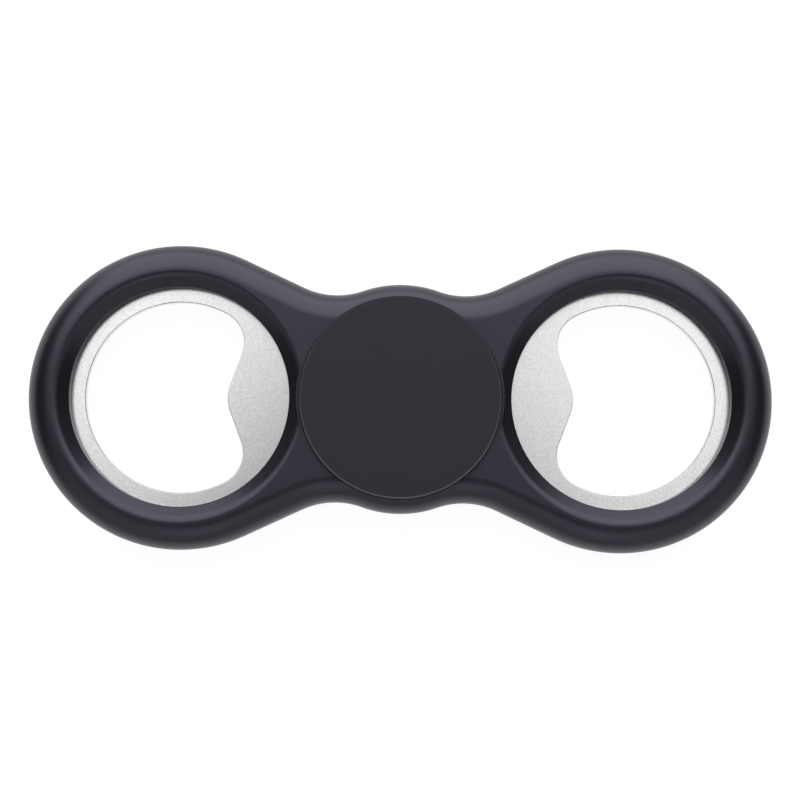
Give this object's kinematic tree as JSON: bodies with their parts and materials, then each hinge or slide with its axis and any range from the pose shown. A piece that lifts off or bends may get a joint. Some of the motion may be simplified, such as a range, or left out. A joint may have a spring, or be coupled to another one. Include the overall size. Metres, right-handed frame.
{
  "type": "fidget spinner",
  "caption": "Flat two-lobed fidget spinner on a ball bearing between round finger caps; each lobe frames a steel plate with a toothed hole that lifts crown corks.",
  "frame": {"origin": "centre of the rear cap's outer face, which the spinner rests on", "axes": "+Z along the spin axis towards the front cap, +X along the two lobes, +Y across them"},
  "size_m": [0.1158, 0.0474, 0.0124],
  "materials": {
    "black_abs": "moulded, fine satin",
    "matte_black_abs": "moulded, matte",
    "blasted_steel": "stamped and bead blasted",
    "bearing_steel": "ground",
    "ball_steel": "lapped",
    "sheet_steel": "pressed"
  },
  "bodies": {
    "caps": {"front_cap": "matte_black_abs", "rear_cap": "matte_black_abs", "inner_race": "bearing_steel"},
    "spinner": {"front_shell": "black_abs", "rear_shell": "black_abs", "left_opener": "blasted_steel", "right_opener": "blasted_steel", "outer_race": "bearing_steel", "front_shield": "sheet_steel", "rear_shield": "sheet_steel", "front_snap_ring": "sheet_steel", "rear_snap_ring": "sheet_steel"},
    "cage": {"front_cage": "sheet_steel", "rear_cage": "sheet_steel"},
    "rolling_ball_1": {"ball_1": "ball_steel"},
    "rolling_ball_2": {"ball_2": "ball_steel"},
    "rolling_ball_3": {"ball_3": "ball_steel"},
    "rolling_ball_4": {"ball_4": "ball_steel"},
    "rolling_ball_5": {"ball_5": "ball_steel"},
    "rolling_ball_6": {"ball_6": "ball_steel"},
    "rolling_ball_7": {"ball_7": "ball_steel"}
  },
  "joints": [
    {"name": "spin", "type": "hinge", "parent": "caps", "child": "spinner", "pos_m": [0, 0, 0.0062], "axis": [0, 0, 1], "continuous": true},
    {"name": "cage_orbit", "type": "hinge", "parent": "caps", "child": "cage", "pos_m": [0, 0, 0.0062], "axis": [0, 0, 1], "continuous": true},
    {"name": "ball_1_roll", "type": "hinge", "parent": "cage", "child": "rolling_ball_1", "pos_m": [0.0075, 0, 0.0062], "axis": [0, 0, 1], "continuous": true},
    {"name": "ball_2_roll", "type": "hinge", "parent": "cage", "child": "rolling_ball_2", "pos_m": [0.00468, 0.00586, 0.0062], "axis": [0, 0, 1], "continuous": true},
    {"name": "ball_3_roll", "type": "hinge", "parent": "cage", "child": "rolling_ball_3", "pos_m": [-0.00167, 0.00731, 0.0062], "axis": [0, 0, 1], "continuous": true},
    {"name": "ball_4_roll", "type": "hinge", "parent": "cage", "child": "rolling_ball_4", "pos_m": [-0.00676, 0.00325, 0.0062], "axis": [0, 0, 1], "continuous": true},
    {"name": "ball_5_roll", "type": "hinge", "parent": "cage", "child": "rolling_ball_5", "pos_m": [-0.00676, -0.00325, 0.0062], "axis": [0, 0, 1], "continuous": true},
    {"name": "ball_6_roll", "type": "hinge", "parent": "cage", "child": "rolling_ball_6", "pos_m": [-0.00167, -0.00731, 0.0062], "axis": [0, 0, 1], "continuous": true},
    {"name": "ball_7_roll", "type": "hinge", "parent": "cage", "child": "rolling_ball_7", "pos_m": [0.00468, -0.00586, 0.0062], "axis": [0, 0, 1], "continuous": true}
  ],
  "couplings": [
    {"joint": "cage_orbit", "follows": "spin", "ratio": 0.6323},
    {"joint": "ball_1_roll", "follows": "spin", "ratio": 1.7577},
    {"joint": "ball_2_roll", "follows": "spin", "ratio": 1.7577},
    {"joint": "ball_3_roll", "follows": "spin", "ratio": 1.7577},
    {"joint": "ball_4_roll", "follows": "spin", "ratio": 1.7577},
    {"joint": "ball_5_roll", "follows": "spin", "ratio": 1.7577},
    {"joint": "ball_6_roll", "follows": "spin", "ratio": 1.7577},
    {"joint": "ball_7_roll", "follows": "spin", "ratio": 1.7577}
  ]
}
